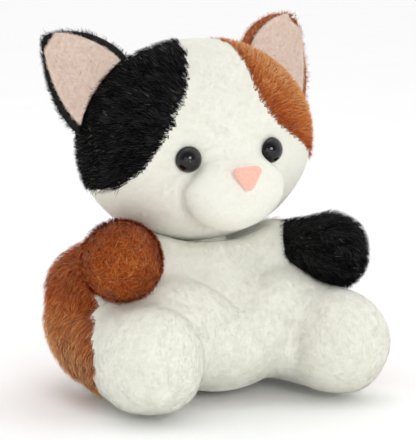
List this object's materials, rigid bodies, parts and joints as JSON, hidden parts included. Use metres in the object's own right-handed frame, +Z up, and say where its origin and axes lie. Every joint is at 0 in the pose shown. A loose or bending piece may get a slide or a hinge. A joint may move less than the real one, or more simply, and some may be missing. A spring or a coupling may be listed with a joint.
{
  "type": "plush cat",
  "caption": "Seated bean plush cat in white, brown and black panels, with stuffed limbs on turning seams, safety eyes, a pink nose and lined ears.",
  "frame": {"origin": "on the floor at the centre of the footprint", "axes": "+Z up, the cat faces -Y, its left side is +X"},
  "size_m": [0.11, 0.1195, 0.1298],
  "materials": {
    "white_plush": "short soft pile, warm white",
    "brown_plush": "soft pile, tan to rust brown",
    "black_plush": "soft pile, black with a fine sheen",
    "pink_plush": "very short pile, pale pink",
    "stuffing": "loose polyester fibre",
    "pellets": "woven sachet of plastic pellets",
    "label_ribbon": "blank satin ribbon",
    "thread": "twisted polyester thread",
    "eye_plastic": "polished black",
    "washer_plastic": "as moulded",
    "nose_flock": "soft matte pink"
  },
  "bodies": {
    "body": {"chest_panel": "white_plush", "back_panel": "brown_plush", "seat_panel": "white_plush", "body_fill": "stuffing", "pellet_sachet": "pellets", "care_label": "label_ribbon", "closing_stitches": "thread"},
    "neck": {"neck_stuffing": "stuffing", "neck_stitches": "thread"},
    "head": {"head_face_panel": "white_plush", "muzzle_panel": "white_plush", "head_patch_black": "black_plush", "head_patch_brown": "brown_plush", "head_back_panel": "white_plush", "head_fill": "stuffing", "muzzle_fill": "stuffing", "eye_right": "eye_plastic", "eye_left": "eye_plastic", "eye_washer_right": "washer_plastic", "eye_washer_left": "washer_plastic", "nose": "nose_flock", "nose_washer": "washer_plastic"},
    "ear_right": {"ear_right_outer": "black_plush", "ear_right_lining": "pink_plush"},
    "ear_left": {"ear_left_outer": "brown_plush", "ear_left_lining": "pink_plush"},
    "arm_right": {"arm_right_top": "brown_plush", "arm_right_under": "brown_plush", "arm_right_fill": "stuffing"},
    "arm_left": {"arm_left_top": "black_plush", "arm_left_under": "black_plush", "arm_left_fill": "stuffing"},
    "leg_right": {"leg_right_foot": "white_plush", "leg_right_haunch": "brown_plush", "leg_right_fill": "stuffing"},
    "leg_left": {"leg_left_foot": "white_plush", "leg_left_haunch": "brown_plush", "leg_left_fill": "stuffing"},
    "tail": {"tail_top": "brown_plush", "tail_under": "brown_plush", "tail_fill": "stuffing"}
  },
  "joints": [
    {"name": "head_turn", "type": "hinge", "parent": "body", "child": "neck", "pos_m": [0, -0.00481, 0.048], "axis": [0, 0, 1], "range_deg": [-30, 30]},
    {"name": "head_nod", "type": "hinge", "parent": "neck", "child": "head", "pos_m": [0, -0.00481, 0.048], "axis": [1, 0, 0], "range_deg": [-8, 5]},
    {"name": "ear_right_fold", "type": "hinge", "parent": "head", "child": "ear_right", "pos_m": [-0.03574, -0.00281, 0.10424], "axis": [-0.603, -0.1242, -0.788], "range_deg": [-18, 7], "stiffness_Nm_per_rad": 0.002},
    {"name": "ear_left_fold", "type": "hinge", "parent": "head", "child": "ear_left", "pos_m": [0.0307, -0.00281, 0.10715], "axis": [-0.6693, 0.1242, 0.7325], "range_deg": [-18, 7], "stiffness_Nm_per_rad": 0.002},
    {"name": "arm_right_swing", "type": "hinge", "parent": "body", "child": "arm_right", "pos_m": [-0.0245, -0.00681, 0.0466], "axis": [-0.2089, 0.1528, -0.9659], "range_deg": [-3, 30]},
    {"name": "arm_left_swing", "type": "hinge", "parent": "body", "child": "arm_left", "pos_m": [0.0245, -0.00681, 0.0466], "axis": [-0.2089, -0.1528, 0.9659], "range_deg": [-3, 30]},
    {"name": "leg_right_splay", "type": "hinge", "parent": "body", "child": "leg_right", "pos_m": [-0.03, 0.00519, 0.02], "axis": [0, 0, -1], "range_deg": [0, 25]},
    {"name": "leg_left_splay", "type": "hinge", "parent": "body", "child": "leg_left", "pos_m": [0.03, 0.00519, 0.02], "axis": [0, 0, 1], "range_deg": [0, 25]},
    {"name": "tail_swing", "type": "hinge", "parent": "body", "child": "tail", "pos_m": [0, 0.03569, 0.011], "axis": [0, 0, 1], "range_deg": [-15, 35]}
  ]
}
